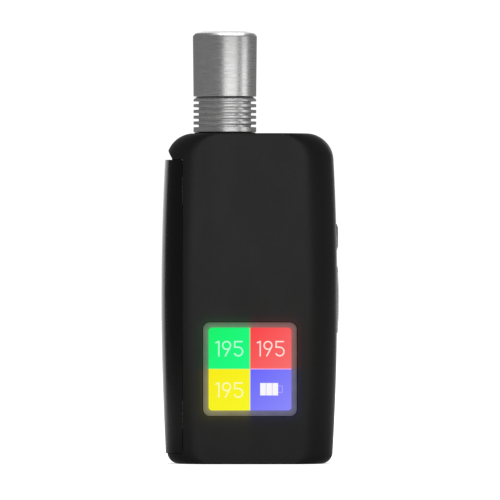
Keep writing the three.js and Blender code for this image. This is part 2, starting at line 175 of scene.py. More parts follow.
def soften(profile, radius, steps=4):
    """A closed profile with every corner that is off the axis rounded."""
    rounded = []
    count = len(profile)
    for i, corner in enumerate(profile):
        corner = Vector(corner)
        before = Vector(profile[i - 1]) - corner
        after = Vector(profile[(i + 1) % count]) - corner
        reach = min(radius, 0.48 * before.length, 0.48 * after.length)
        if corner.x < 1e-6 or before.angle(after) > math.radians(172):
            rounded.append(tuple(corner))
            continue
        start = corner + before.normalized() * reach
        end = corner + after.normalized() * reach
        for k in range(steps + 1):
            t = k / steps
            point = start * (1 - t) ** 2 + corner * 2 * t * (1 - t) + end * t**2
            rounded.append(tuple(point))
    return rounded


def rounded_rectangle(width, height, radius, steps=12):
    """The outline of a rectangle with round corners, centred on the origin."""
    points = []
    corners = ((1, -1, -90), (1, 1, 0), (-1, 1, 90), (-1, -1, 180))
    for side, level, start in corners:
        cx = side * (width / 2 - radius)
        cy = level * (height / 2 - radius)
        for k in range(steps + 1):
            angle = math.radians(start + 90 * k / steps)
            points.append((cx + radius * math.cos(angle), cy + radius * math.sin(angle)))
    return points


def divided(outline, longest):
    """The outline with extra points along its straight runs."""
    points = []
    for start, end in zip(outline, outline[1:] + outline[:1]):
        start = Vector(start)
        end = Vector(end)
        count = max(1, math.ceil((end - start).length / longest))
        points += [start.lerp(end, k / count) for k in range(count)]
    return points


def along_x(u, v, depth):
    """A point of an outline that is drawn square to X."""
    return (depth, u, v)


def along_y(u, v, depth):
    """A point of an outline that is drawn square to Y."""
    return (u, depth, v)


def along_z(u, v, depth):
    """A point of an outline that is drawn square to Z."""
    return (u, v, depth)


def slab(width, height, radius, span, place, centre=(0, 0), edge=(0, 0), steps=12):
    """A plate with a rounded rectangular outline and quarter-round edges at its two faces."""
    near, far = span
    levels = [(0, near)] if edge[0] == 0 else quarter_round(edge[0], near, 1)
    levels += [(0, far)] if edge[1] == 0 else quarter_round(edge[1], far, -1)[::-1]
    rings = []
    for inset, depth in levels:
        outline = rounded_rectangle(
            width - 2 * inset, height - 2 * inset, max(radius - inset, 0.01), steps
        )
        rings.append([place(centre[0] + u, centre[1] + v, depth) for u, v in outline])
    return loft(rings)


def quarter_round(radius, face, direction, steps=5):
    """(inset, depth) pairs from a plate's face to where its side begins."""
    pairs = []
    for k in range(steps + 1):
        angle = 0.5 * math.pi * k / steps
        inset = radius * (1 - math.sin(angle))
        pairs.append((inset, face + direction * radius * (1 - math.cos(angle))))
    return pairs


def box(x_span, y_span, z_span):
    """A plain box, for cutting."""
    corners = [(0, 0), (1, 0), (1, 1), (0, 1)]
    return loft([[(x_span[i], y_span[j], z) for i, j in corners] for z in z_span])


def cylinder_x(radius, span, height, sides=48):
    """A rod along X at y = 0, for cutting."""
    rings = []
    for x in span:
        ring = []
        for i in range(sides):
            angle = math.tau * i / sides
            ring.append((x, radius * math.cos(angle), height + radius * math.sin(angle)))
        rings.append(ring)
    return loft(rings)


def turned_to_x(bm, height):
    """Turns an upright lathe so that its axis runs along X at a height."""
    matrix = Matrix.Translation((0, 0, height * MM)) @ Matrix.Rotation(math.pi / 2, 4, "Y")
    bm.transform(matrix)
    return bm


def to_object(name, bm):
    """Puts a finished mesh into the scene as an object."""
    mesh = bpy.data.meshes.new(name)
    bm.to_mesh(mesh)
    bm.free()
    made = bpy.data.objects.new(name, mesh)
    bpy.context.scene.collection.objects.link(made)
    return made


def carve(target, cutters, operation="DIFFERENCE"):
    """Cuts the target by each cutter in turn, for good, and removes the cutters."""
    for cutter in cutters:
        modifier = target.modifiers.new("carve", "BOOLEAN")
        modifier.operation = operation
        modifier.solver = "EXACT"
        modifier.object = cutter
        apply_modifiers(target)
        bpy.data.objects.remove(cutter)
    return target


def apply_modifiers(target):
    """Makes the object's modifiers part of its mesh."""
    bpy.context.view_layer.update()
    shaped = target.evaluated_get(bpy.context.evaluated_depsgraph_get())
    mesh = bpy.data.meshes.new_from_object(shaped)
    target.modifiers.clear()
    target.data = mesh


def cutter(bm):
    """An object that carve() uses up."""
    return to_object("cutter", bm)


def finish_piece(piece, material, body, stands_for=(), sharp=30, bevel=0):
    """Shades, colours and places a piece, and says which CAD nodes it stands for."""
    piece.data.materials.clear()
    piece.data.materials.append(material)
    if bevel:
        add_bevel(piece, bevel)
    piece.data.shade_smooth()
    piece.data.set_sharp_from_angle(angle=math.radians(sharp))
    normals = piece.modifiers.new("weighted normals", "WEIGHTED_NORMAL")
    normals.keep_sharp = True
    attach(piece, body)
    if stands_for:
        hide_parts(*stands_for)
    return piece


def add_bevel(piece, width):
    """Eases a piece's square edges by `width` mm."""
    bevel = piece.modifiers.new("edge", "BEVEL")
    bevel.width = width * MM
    bevel.segments = 2
    bevel.limit_method = "ANGLE"
    bevel.angle_limit = math.radians(50)
    bevel.use_clamp_overlap = True


# ---- Material helpers ----


class Finish:
    """A Principled material, with methods that add fine detail in the object's own space."""

    def __init__(self, name, colour, roughness, metallic=0.0, specular=0.5):
        self.material = bpy.data.materials.new(name)
        self.material.use_nodes = True
        self.tree = self.material.node_tree
        self.shader = self.tree.nodes["Principled BSDF"]
        self.shader.inputs["Base Color"].default_value = (*colour, 1)
        self.shader.inputs["Roughness"].default_value = roughness
        self.shader.inputs["Metallic"].default_value = metallic
        self.shader.inputs["Specular IOR Level"].default_value = specular
        self.place = self.tree.nodes.new("ShaderNodeTexCoord").outputs["Object"]

    def node(self, kind, **inputs):
        """A new node, with input values given by name."""
        made = self.tree.nodes.new(kind)
        for name, value in inputs.items():
            made.inputs[name.replace("_", " ")].default_value = value
        return made

    def link(self, source, target):
        """Joins an output socket to an input socket."""
        self.tree.links.new(source, target)

    def noise(self, size, detail=3.0, stretch=(1, 1, 1)):
        """Noise whose lumps are about `size` mm, stretched along the given axes."""
        mapping = self.node("ShaderNodeMapping")
        mapping.inputs["Scale"].default_value = [1 / (size * MM * s) for s in stretch]
        noise = self.node("ShaderNodeTexNoise", Scale=1.0, Detail=detail, Roughness=0.55)
        self.link(self.place, mapping.inputs["Vector"])
        self.link(mapping.outputs["Vector"], noise.inputs["Vector"])
        return noise.outputs["Fac"]

    def spread(self, source, low, high, from_low=0.3, from_high=0.7):
        """A 0 to 1 signal mapped onto low to high."""
        ranged = self.node("ShaderNodeMapRange", From_Min=from_low, From_Max=from_high)
        ranged.inputs["To Min"].default_value = low
        ranged.inputs["To Max"].default_value = high
        self.link(source, ranged.inputs["Value"])
        return ranged.outputs["Result"]

    def maths(self, operation, *values):
        """A Math node over numbers and signals."""
        made = self.tree.nodes.new("ShaderNodeMath")
        made.operation = operation
        for socket, value in zip(made.inputs, values):
            if isinstance(value, float):
                socket.default_value = value
            else:
                self.link(value, socket)
        return made.outputs["Value"]

    def mix(self, factor, first, second):
        """A blend of two colours. Each is a tuple or a signal."""
        made = self.tree.nodes.new("ShaderNodeMix")
        made.data_type = "RGBA"
        self.link(factor, made.inputs["Factor"])
        for name, colour in (("A", first), ("B", second)):
            if isinstance(colour, tuple):
                made.inputs[name].default_value = (*colour, 1)
            else:
                self.link(colour, made.inputs[name])
        return made.outputs["Result"]

    def vary_roughness(self, source, low, high):
        """Roughness that follows a signal."""
        self.link(self.spread(source, low, high), self.shader.inputs["Roughness"])
        return self

    def vary_colour(self, source, dark, light, from_low=0.3, from_high=0.7):
        """Base colour that follows a signal."""
        factor = self.spread(source, 0, 1, from_low, from_high)
        self.link(self.mix(factor, dark, light), self.shader.inputs["Base Color"])
        return self

    def bump(self, source, height, strength=1.0):
        """Relief of `height` mm, on top of any relief that is already there."""
        bump = self.node("ShaderNodeBump", Strength=strength, Distance=height * MM)
        existing = self.shader.inputs["Normal"].links
        if existing:
            self.link(existing[0].from_socket, bump.inputs["Normal"])
        self.link(source, bump.inputs["Height"])
        self.link(bump.outputs["Normal"], self.shader.inputs["Normal"])
        return self


def powder_coat():
    """Matte black powder coat: a fine pebbled skin, faint marks, and a painted glow of the
    display's light round the lens.
    """
    made = Finish("powder_coat", (0.006, 0.0061, 0.0058), 0.38, specular=0.25)
    grain = made.noise(0.32, detail=4)
    marks = made.noise(9, detail=5, stretch=(1, 1, 2.5))
    made.vary_colour(grain, (0.0042, 0.0044, 0.0042), (0.0084, 0.0086, 0.0081))
    made.vary_roughness(marks, 0.34, 0.43)
    made.bump(grain, 0.02, 0.42)
    made.bump(made.noise(0.9, detail=2), 0.02, 0.2)
    # Painted light: tinted emission near the lens stands in for the display's light on the coat.
    add_painted_display_glow(made, 0.11)
    return made.material


def lacquer():
    """Smooth black lacquer with hairline scratches and a slight orange peel."""
    made = Finish("black_lacquer", (0.0022, 0.0023, 0.0022), 0.2, specular=0.24)
    made.vary_roughness(made.noise(0.5, detail=6, stretch=(1, 1, 14)), 0.14, 0.26)
    made.bump(made.noise(1.1, detail=2), 0.004, 0.3)
    return made.material


def turned_steel(name="turned_steel", low=0.24, high=0.36, colour=0.6):
    """Steel off the lathe: fine tool rings round the axis and short streaks along them."""
    made = Finish(name, (colour, colour * 0.99, colour * 0.985), 0.3, metallic=1.0)
    rings = made.noise(0.13, detail=3, stretch=(60, 60, 1))
    streaks = made.noise(0.34, detail=3, stretch=(11, 11, 1))
    grey = (colour * 0.9, colour * 0.89, colour * 0.89)
    pale = (colour * 1.05, colour * 1.045, colour * 1.04)
    made.vary_colour(streaks, grey, pale)
    made.vary_roughness(streaks, low, high)
    made.bump(rings, 0.004, 0.22)
    made.bump(streaks, 0.012, 0.3)
    made.shader.inputs["Anisotropic"].default_value = 0.4
    tangent = made.tree.nodes.new("ShaderNodeTangent")
    tangent.direction_type = "RADIAL"
    tangent.axis = "Z"
    made.link(tangent.outputs["Tangent"], made.shader.inputs["Tangent"])
    return made.material


def satin_metal(name, colour, roughness):
    """Plated or anodised metal with a short upright grain."""
    made = Finish(name, colour, roughness, metallic=1.0)
    brushed = made.noise(0.1, detail=4, stretch=(1, 1, 25))
    made.vary_roughness(brushed, roughness - 0.07, roughness + 0.09)
    made.bump(brushed, 0.003, 0.4)
    return made.material


def moulded_plastic(name, colour, roughness, grain=0.25, depth=0.012):
    """Moulded plastic with a spark-eroded grain and slight colour drift."""
    made = Finish(name, colour, roughness)
    texture = made.noise(grain, detail=3)
    dark = tuple(c * 0.86 for c in colour)
    light = tuple(min(1, c * 1.14) for c in colour)
    made.vary_colour(made.noise(4, detail=4), dark, light)
    made.vary_roughness(texture, roughness - 0.06, roughness + 0.08)
    made.bump(texture, depth, 0.5)
    return made.material


def bezel_grey():
    """Pale grey printed border, with the tiles' light painted onto it as a tinted glow."""
    made = Finish("bezel_grey", (0.2, 0.196, 0.186), 0.5, specular=0.2)
    made.vary_colour(made.noise(2.5, detail=4), (0.18, 0.176, 0.167), (0.22, 0.216, 0.205))
    made.bump(made.noise(0.2, detail=3), 0.004, 0.4)
    # Painted light: the tiles' glow on the border is emission, not scattered light.
    add_painted_display_glow(made, 0.22)
    return made.material


def silicone():
    """Matte black silicone with a dusty bloom."""
    made = Finish("silicone", (0.008, 0.008, 0.008), 0.6, specular=0.4)
    made.vary_roughness(made.noise(0.6, detail=4), 0.5, 0.72)
    made.bump(made.noise(0.15, detail=2), 0.006, 0.4)
    return made.material


def circuit_board():
    """Green solder mask over traces: right-angled runs show as slightly raised, paler lines."""
    made = Finish("circuit_board", (0.007, 0.075, 0.024), 0.35)
    mapping = made.node("ShaderNodeMapping")
    mapping.inputs["Rotation"].default_value = (0, math.pi / 2, 0)
    mapping.inputs["Scale"].default_value = (280, 280, 280)
    bricks = made.node("ShaderNodeTexBrick", Scale=1.0, Mortar_Size=0.018, Row_Height=0.24)
    made.link(made.place, mapping.inputs["Vector"])
    made.link(mapping.outputs["Vector"], bricks.inputs["Vector"])
    made.vary_colour(bricks.outputs["Fac"], (0.006, 0.07, 0.022), (0.02, 0.14, 0.05), 0, 1)
    made.bump(bricks.outputs["Fac"], 0.02, 0.6)
    made.shader.inputs["Coat Weight"].default_value = 0.3
    return made.material


def woven(name, colour, thread, stretch):
    """Cloth or mesh: two crossed sets of ribs, `thread` mm apart, with painted shade in the gaps
    between them.
    """
    made = Finish(name, colour, 0.8)
    heights = []
    for axis in stretch:
        wave = made.node("ShaderNodeTexWave", Scale=1.0, Distortion=0.0)
        wave.bands_direction = axis
        mapping = made.node("ShaderNodeMapping")
        mapping.inputs["Scale"].default_value = (0.314 / (thread * MM),) * 3
        made.link(made.place, mapping.inputs["Vector"])
        made.link(mapping.outputs["Vector"], wave.inputs["Vector"])
        heights.append(wave.outputs["Fac"])
    crossed = made.maths("MULTIPLY", *heights)
    # Painted shade: the colour falls to a quarter between the threads, where the gaps are in
    # shade.
    dark = tuple(c * 0.25 for c in colour)
    made.vary_colour(crossed, dark, colour, 0.05, 0.6)
    made.bump(crossed, thread * 0.4, 0.8)
    return made


def fired_ceramic(name, colour, roughness):
    """Pale fired ceramic or pressed insulation, mottled and slightly pitted."""
    made = Finish(name, colour, roughness)
    dark = tuple(c * 0.8 for c in colour)
    made.vary_colour(made.noise(2.2, detail=6), dark, colour)
    made.bump(made.noise(0.35, detail=5), 0.03, 0.6)
    return made.material


def clear_lens():
    """A clear window: see-through face on, and mirror-like towards grazing views."""
    made = Finish("clear_lens", (1, 1, 1), 0.05, metallic=1.0)
    facing = made.node("ShaderNodeLayerWeight", Blend=0.5)
    grazing = made.maths("POWER", facing.outputs["Facing"], 5.0)
    made.link(made.maths("MULTIPLY_ADD", grazing, 0.97, 0.025), made.shader.inputs["Alpha"])
    made.vary_roughness(made.noise(3, detail=6), 0.03, 0.08)
    return made.material


def lit(name, colour, far_colour, centre=(0, DISPLAY_Z), size=LIT_SIZE):
    """A lit area of the display, shading from its upper left corner to its lower right."""
    made = Finish(name, (0, 0, 0), 0.6, specular=0.0)
    split = made.tree.nodes.new("ShaderNodeSeparateXYZ")
    made.link(made.place, split.inputs["Vector"])
    left = (centre[0] - size / 2) * MM
    bottom = (centre[1] - size / 2) * MM
    across = made.spread(split.outputs["X"], 0, 0.5, left, left + size * MM)
    down = made.spread(split.outputs["Z"], 0.5, 0, bottom, bottom + size * MM)
    mix = made.mix(made.maths("ADD", across, down), colour, far_colour)
    made.link(mix, made.shader.inputs["Emission Color"])
    made.shader.inputs["Emission Strength"].default_value = 1.0
    return made.material


def add_painted_display_glow(made, strength):
    """Painted glow round the lit area: emission in each tile's colour, fading in about 1 mm, that
    stands in for the tiles' light falling on the surface.
    """
    split = made.tree.nodes.new("ShaderNodeSeparateXYZ")
    made.link(made.place, split.inputs["Vector"])
    half = (LIT_SIZE / 2 - 1) * MM
    blend = 0.9 * MM
    centre = DISPLAY_Z * MM
    right = made.spread(split.outputs["X"], 0, 1, -blend, blend)
    upper = made.spread(split.outputs["Z"], 0, 1, centre - blend, centre + blend)
    top_row = made.mix(right, TILES["tile_green"][2], TILES["tile_red"][2])
    bottom_row = made.mix(right, TILES["tile_yellow"][2], TILES["tile_blue"][2])
    made.link(made.mix(upper, bottom_row, top_row), made.shader.inputs["Emission Color"])
    past = []
    for axis, middle in (("X", 0.0), ("Z", centre)):
        offset = made.maths("ABSOLUTE", made.maths("SUBTRACT", split.outputs[axis], middle))
        past.append(made.maths("MAXIMUM", made.maths("SUBTRACT", offset, half), 0.0))
    squares = [made.maths("POWER", side, 2.0) for side in past]
    distance = made.maths("SQRT", made.maths("ADD", *squares))
    beyond_edge = made.maths("SUBTRACT", distance, 1 * MM)
    fade = made.maths("EXPONENT", made.maths("MULTIPLY", beyond_edge, -1 / (1.15 * MM)))
    in_front = made.maths("LESS_THAN", split.outputs["Y"], -11.3 * MM)
    # Painted light: the glow is emission only on faces in front of the display.
    glow = made.maths("MULTIPLY", made.maths("MULTIPLY", fade, strength), in_front)
    made.link(made.maths("MINIMUM", glow, 0.3), made.shader.inputs["Emission Strength"])


# ---- The housing and its cover ----


def bowed_half_width(z):
    """Half the housing's width at a height, along the bow of its ends."""
    rise = z - BODY_WIDEST_AT
    return BODY_HALF_WIDTH - BODY_BOW_RADIUS + math.sqrt(BODY_BOW_RADIUS**2 - rise**2)


def corner_inset(radius, run):
    """How far a round corner draws in, `run` mm past the point where it starts."""
    into = min(max(run, 0), radius)
    return radius - math.sqrt(radius**2 - into**2)


def bowed_block(bottom, top, bottom_radius, top_radius, inset=0.0, slide=0.0, edge=0.0):
    """The housing's block. Its two ends slide in and out with height; the faces stay flat."""
    side_bottom = bottom + bottom_radius
    side_top = top - top_radius
    heights = {bottom, top}
    heights |= {side_bottom - bottom_radius * math.cos(math.pi * k / 20) for k in range(1, 11)}
    heights |= {side_bottom + (side_top - side_bottom) * k / 28 for k in range(1, 28)}
    heights |= {side_top + top_radius * math.sin(math.pi * k / 32) for k in range(16)}
    if edge:
        for k in range(1, 5):
            run = edge * (1 - math.cos(math.pi * k / 8))
            heights |= {bottom + run, top - run}
    rings = []
    for z in sorted(heights):
        half = bowed_half_width(z) - inset + slide
        half -= corner_inset(bottom_radius, side_bottom - z)
        half -= corner_inset(top_radius, z - side_top)
        drawn = corner_inset(edge, edge - min(z - bottom, top - z)) if edge else 0
        depth = 2 * (BODY_HALF_DEPTH - inset)
        outline = rounded_rectangle(2 * half, depth, BODY_PLAN_RADIUS - inset, 20)
        rings.append([(x, y - math.copysign(drawn, y), z) for x, y in outline])
    return loft(rings)


def outer_block(slide=0.0):
    """The outside of the housing, or of the cover, which stands a little proud."""
    return bowed_block(
        0,
        BODY_HEIGHT,
        BODY_BOTTOM_RADIUS,
        BODY_TOP_RADIUS,
        slide=slide,
        edge=BODY_EDGE_RADIUS,
    )


def flared(width, height, radius, inner, face, outer, place, centre, flare=0.16):
    """A straight cutter that widens where it meets the surface, so that it leaves a chamfer."""
    rings = []
    direction = math.copysign(1, outer - inner)
    mouth = abs(outer - face) + flare
    for depth, grow in ((inner, 0), (face - direction * flare, 0), (outer, mouth)):
        outline = rounded_rectangle(width + 2 * grow, height + 2 * grow, radius + grow, 16)
        rings.append([place(centre[0] + u, centre[1] + v, depth) for u, v in outline])
    return loft(rings)


def nail_groove():
    """The notch under the housing's lip, where a fingernail lifts the cover."""
    foot = COVER_TOP - 0.01
    outside = -28
    roof = NAIL_GROOVE[-1][1]
    outline = [(NAIL_GROOVE[0][0], foot), *NAIL_GROOVE, (outside, roof), (outside, foot)]
    return loft([[(x, y, z) for x, z in outline] for y in (-20, 20)])


def make_housing(material):
    """The shell, with its cavity and the openings for the lens, buttons, socket and stem."""
    left = (-30, SEAM_X)
    deep = (-20, 20)
    cavity = cutter(
        bowed_block(
            BODY_FLOOR,
            BODY_CEILING,
            BODY_BOTTOM_RADIUS - BODY_WALL,
            BODY_TOP_RADIUS - BODY_WALL,
            inset=BODY_WALL,
        )
    )
    kept = [box(left, deep, (COVER_TOP, BODY_HEIGHT)), box(left, deep, (-1, COVER_BOTTOM))]
    kept += [cylinder_x(1.8, (20.7, 24), z) for z in SCREW_HEIGHTS.values()]
    carve(cavity, [cutter(bm) for bm in kept])
    lens = LENS_SIZE + 0.24
    tools = [
        box(left, deep, (COVER_BOTTOM, COVER_TOP)),
        nail_groove(),
        flared(lens, lens, LENS_RADIUS + 0.12, -8, -13, -13.3, along_y, (0, DISPLAY_Z), 0.05),
        flared(4.76, 19.5, 2.37, 21, 24.58, 24.9, along_x, (0, ROCKER_Z)),
        flared(7.46, 7.46, 3.729, 21, 24.36, 24.7, along_x, (0, POWER_Z)),
        flared(3.56, 9.24, 1.7, 4, 0, -0.3, along_z, (17.93, 0)),
        lathe([(0, 90), (8.05, 90), (8.05, 96), (0, 96)], 96, (STEM_X, 0)),
    ]
    tools += [cylinder_x(0.85, (20, 22.4), z) for z in SCREW_HEIGHTS.values()]
    housing = to_object("housing_shell", outer_block())
    carve(housing, [cavity] + [cutter(bm) for bm in tools])
    return finish_piece(housing, material, "housing", ["body_shell"])


def make_cover(material):
    """The cover: a slice of the outer block, hollowed round two bosses for the magnets."""
    inner = cutter(
        bowed_block(COVER_BOTTOM + COVER_RIM, COVER_TOP - COVER_RIM, 0.5, 0.5, inset=COVER_WALL)
    )
    bosses = [box((-24, -20.3), (-10.5, -6.4), (z - 5, z + 5)) for z in MAGNET_HEIGHTS]
    carve(inner, [cutter(bm) for bm in bosses])
    span = (COVER_BOTTOM + COVER_GAP, COVER_TOP - COVER_GAP)
    cover = to_object("cover_shell", outer_block(COVER_PROUD))
    limits = cutter(box((-30, SEAM_X - COVER_GAP), (-20, 20), span))
    carve(cover, [limits], "INTERSECT")
    carve(cover, [inner])
    return finish_piece(cover, material, "side_cover", ["side_cover"], bevel=0.08)


# ---- The stem ----


def make_mouthpiece(material):
    """A sleeve that widens slightly upwards, with a chamfered and domed lip."""
    profile = [
        (6.15, MOUTH_BOTTOM),
        (8.83, MOUTH_BOTTOM),
        (8.87, MOUTH_BOTTOM + 0.06),
        (9.05, 120.7),
        (8.35, 121.52),
        (7.4, 121.77),
        (6.4, 121.99),
        (5.4, 122.1),
        (4.8, 122.0),
        (4.5, 121.6),
        (4.5, 109.4),
        (6.15, 109.4),
    ]
    piece = to_object("mouthpiece_turned", lathe(soften(profile, 0.2, 3), 128, (STEM_X, 0)))
    return finish_piece(piece, material, "stem", ["mouthpiece"])


def make_cooling_stem(material):
    """A collar, four fins and a coned shoulder above a tube with two seal grooves."""
    fins = []
    for z in FIN_BOTTOMS:
        top = z + FIN_THICKNESS
        fins += [(CORE_RADIUS, z), (FIN_RADIUS, z), (FIN_RADIUS, top), (CORE_RADIUS, top)]
    grooves = []
    for z in SEAL_GROOVES.values():
        low = z - 0.7
        high = z + 0.7
        grooves += [(TUBE_RADIUS, low), (6.1, low), (6.1, high), (TUBE_RADIUS, high)]
    profile = [
        (5, 79.5),
        (TUBE_RADIUS, 79.5),
        *grooves,
        (TUBE_RADIUS, 93.6),
        (FIN_RADIUS, 93.6),
        (FIN_RADIUS, 95),
        (CORE_RADIUS, 95),
        *fins,
        (CORE_RADIUS, 102.24),
        (FIN_RADIUS, 102.24),
        (FIN_RADIUS, 102.85),
        (8.0, 103.57),
        (6, 103.57),
        (6, 109),
        (3.5, 109),
        (3.5, 88.6),
        (5, 88.6),
    ]
    piece = to_object("cooling_stem_turned", lathe(soften(profile, 0.14, 3), 128, (STEM_X, 0)))
    return finish_piece(piece, material, "stem", ["cooling_stem"])


def make_stem_seal(material):
    """The ring that lines the hole in the top face and shows as a thin black lip."""
    top = BODY_HEIGHT + 0.3
    profile = [(7.5, 91.2), (7.85, 91.2), (7.85, 93.24), (8.6, 93.24), (8.6, top), (7.5, top)]
    piece = to_object("stem_seal_ring", lathe(soften(profile, 0.14, 4), 112, (STEM_X, 0)))
    return finish_piece(piece, material, "housing", ["stem_seal"])


def make_sealing_rings(material):
    """The two O-rings in the tube's grooves."""
    for place, z in SEAL_GROOVES.items():
        profile = []
        for k in range(16):
            angle = math.tau * k / 16
            profile.append((6.78 + 0.52 * math.cos(angle), z + 0.52 * math.sin(angle)))
        piece = to_object(f"sealing_ring_{place}", lathe(profile, 96, (STEM_X, 0)))
        finish_piece(piece, material, "stem", [f"stem_oring_{place}"])


# ---- The display ----


def make_display(lens_finish, bezel_finish, panel_finish):
    """The lens, the border behind it, the module and its lit tiles."""
    middle = (0, DISPLAY_Z)
    edges = (0.12, 0.05)
    lens = slab(LENS_SIZE, LENS_SIZE, LENS_RADIUS, (-12.98, -11.9), along_y, middle, edges, 16)
    finish_piece(to_object("lens", lens), lens_finish, "housing", ["display_lens"])
    across = LENS_SIZE - 0.1
    plate = slab(across, across, LENS_RADIUS - 0.05, (-11.85, -11.55), along_y, middle, steps=16)
    border = to_object("lens_border", plate)
    opening = slab(LIT_SIZE, LIT_SIZE, 1, (-13, -11), along_y, middle, steps=12)
    carve(border, [cutter(opening)])
    finish_piece(border, bezel_finish, "housing", ["display_bezel"])
    panel = slab(26, 29, 0.5, (-11.4, -9.7), along_y, (0, DISPLAY_Z - 0.8), (0.1, 0.2))
    finish_piece(to_object("display_module", panel), panel_finish, "housing", ["display_panel"])
    make_tiles()


def make_tiles():
    """Four lit squares, thin pale lines between them, three set points and a battery symbol."""
    half = LIT_SIZE / 2
    for name, (side, level, colour, far_colour, digit_colour) in TILES.items():
        centre = (side * half / 2, DISPLAY_Z + level * half / 2)
        tile = slab(half, half, 0.02, (LIT_FACE - 0.01, LIT_FACE), along_y, centre, steps=1)
        finish_piece(to_object(name, tile), lit(name, colour, far_colour, centre, half), "housing")
        digits = lit(f"{name}_digits", digit_colour, digit_colour)
        if name == "tile_blue":
            make_battery_symbol(centre, digits)
        else:
            make_set_point(name, centre, digits)
    lines = (
        ("line_up", (0, half / 2), 0.2, half, (0.55, 0.72, 0.3)),
        ("line_down", (0, -half / 2), 0.2, half, (0.85, 0.9, 0.55)),
        ("line_left", (-half / 2, 0), half, 0.16, (0.5, 1.0, 0.16)),
        ("line_right", (half / 2, 0), half, 0.2, (0.95, 0.5, 0.95)),
    )
    for name, (x, z), width, height, colour in lines:
        span = (LIT_FACE - 0.02, LIT_FACE - 0.01)
        line = slab(width, height, 0.02, span, along_y, (x, DISPLAY_Z + z), steps=1)
        finish_piece(to_object(name, line), lit(name, colour, colour), "housing")


def stroke(points, width, depth):
    """A flat line of even width with round ends through points in the display's plane."""
    half = width / 2
    points = [Vector(p) for p in points]
    headings = [(b - a).normalized() for a, b in zip(points, points[1:])]
    sides = []
    for i in range(len(points)):
        before = headings[max(i - 1, 0)]
        after = headings[min(i, len(headings) - 1)]
        mean = (before + after).normalized()
        reach = half / max(mean.dot(after), 0.5)
        sides.append(Vector((-mean.y, mean.x)) * reach)
    left = [p + s for p, s in zip(points, sides)]
    right = [p - s for p, s in zip(points, sides)]
    outline = left + round_end(points[-1], headings[-1], half)
    outline += right[::-1] + round_end(points[0], -headings[0], half)
    return loft([[(p.x, y, p.y) for p in outline] for y in (depth, depth - 0.01)])


def round_end(centre, heading, radius, steps=6):
    """The points of a half circle round a stroke's end, from its left side to its right."""
    start = math.atan2(heading.y, heading.x) + math.pi / 2
    points = []
    for k in range(1, steps):
        angle = start - math.pi * k / steps
        points.append(centre + Vector((math.cos(angle), math.sin(angle))) * radius)
    return points


def arc(centre, radius, start, end, steps=20):
    """Points along an arc, with its angles in degrees."""
    points = []
    for k in range(steps + 1):
        angle = math.radians(start + (end - start) * k / steps)
        x = centre[0] + radius * math.cos(angle)
        points.append((x, centre[1] + radius * math.sin(angle)))
    return points


# The strokes of each digit as (x, z), from its foot and its middle.
DIGIT_HEIGHT = 4.05
DIGIT_WIDTH = 0.39
DIGIT_STROKES = {
    "1": [[(-0.8, 3.68), (-0.05, 4.0)], [(0.0, 4.05), (0.0, 0.0)]],
    "9": [arc((0, 2.93), 1.1, 0, 355), [(1.0, 2.45), (-0.35, 0.0)]],
    "5": [
        [(1.15, 4.0), (-0.9, 4.0), (-0.95, 2.45), (0.1, 2.42), *arc((0.1, 1.2), 1.2, 85, -150)],
    ],
}


def make_set_point(tile, centre, material):
    """The generic number 195 in thin even strokes."""
    base = centre[1] - DIGIT_HEIGHT / 2 - 0.08
    for digit, offset in (("1", -2.95), ("9", -0.76), ("5", 2.45)):
        for k, points in enumerate(DIGIT_STROKES[digit]):
            placed = [(centre[0] + offset + x, base + z) for x, z in points]
            line = to_object(f"{tile}_{digit}_{k}", stroke(placed, DIGIT_WIDTH, LIT_FACE - 0.02))
            finish_piece(line, material, "housing")


def make_battery_symbol(centre, material):
    """Three solid bars side by side with a thin outlined terminal."""
    middle = centre[1] + 0.14
    span = (LIT_FACE - 0.03, LIT_FACE - 0.02)
    for k in range(3):
        across = centre[0] - 2.16 + 1.72 * k
        bar = slab(1.62, 3.5, 0.1, span, along_y, (across, middle))
        finish_piece(to_object(f"battery_bar_{k}", bar), material, "housing")
    left = centre[0] + 2.1
    right = left + 1.2
    high = middle + 0.9
    low = middle - 0.9
    points = [(left, high), (right, high), (right, low), (left, low)]
    nub = to_object("battery_terminal", stroke(points, 0.13, LIT_FACE - 0.02))
    pale_blue = (0.52, 0.5, 1.0)
    finish_piece(nub, lit("terminal", pale_blue, pale_blue), "housing")


# ---- The buttons ----


def make_power_button(metal, dark):
    """The bright ring and the dark cap, which has a groove round its middle."""
    section = [(3.15, 22.95), (3.65, 22.95), (3.65, 24.64), (3.15, 24.64)]
    ring = lathe(soften(section, 0.16, 4), 96)
    ring_piece = to_object("button_ring", turned_to_x(ring, POWER_Z))
    finish_piece(ring_piece, metal, "housing", ["power_button_ring"])
    face = 24.86
    profile = [
        (0, 22.1),
        (4, 22.1),
        (4, 22.55),
        (3.02, 22.55),
        (3.02, face - 0.06),
        (2.6, face - 0.03),
        (2.35, face - 0.17),
        (1.95, face - 0.17),
        (1.7, face - 0.01),
        (0, face),
    ]
    cap = to_object("button_cap", turned_to_x(lathe(soften(profile, 0.1, 3), 96), POWER_Z))
    finish_piece(cap, dark, "power_button", ["power_button"])
    return ring_piece, cap


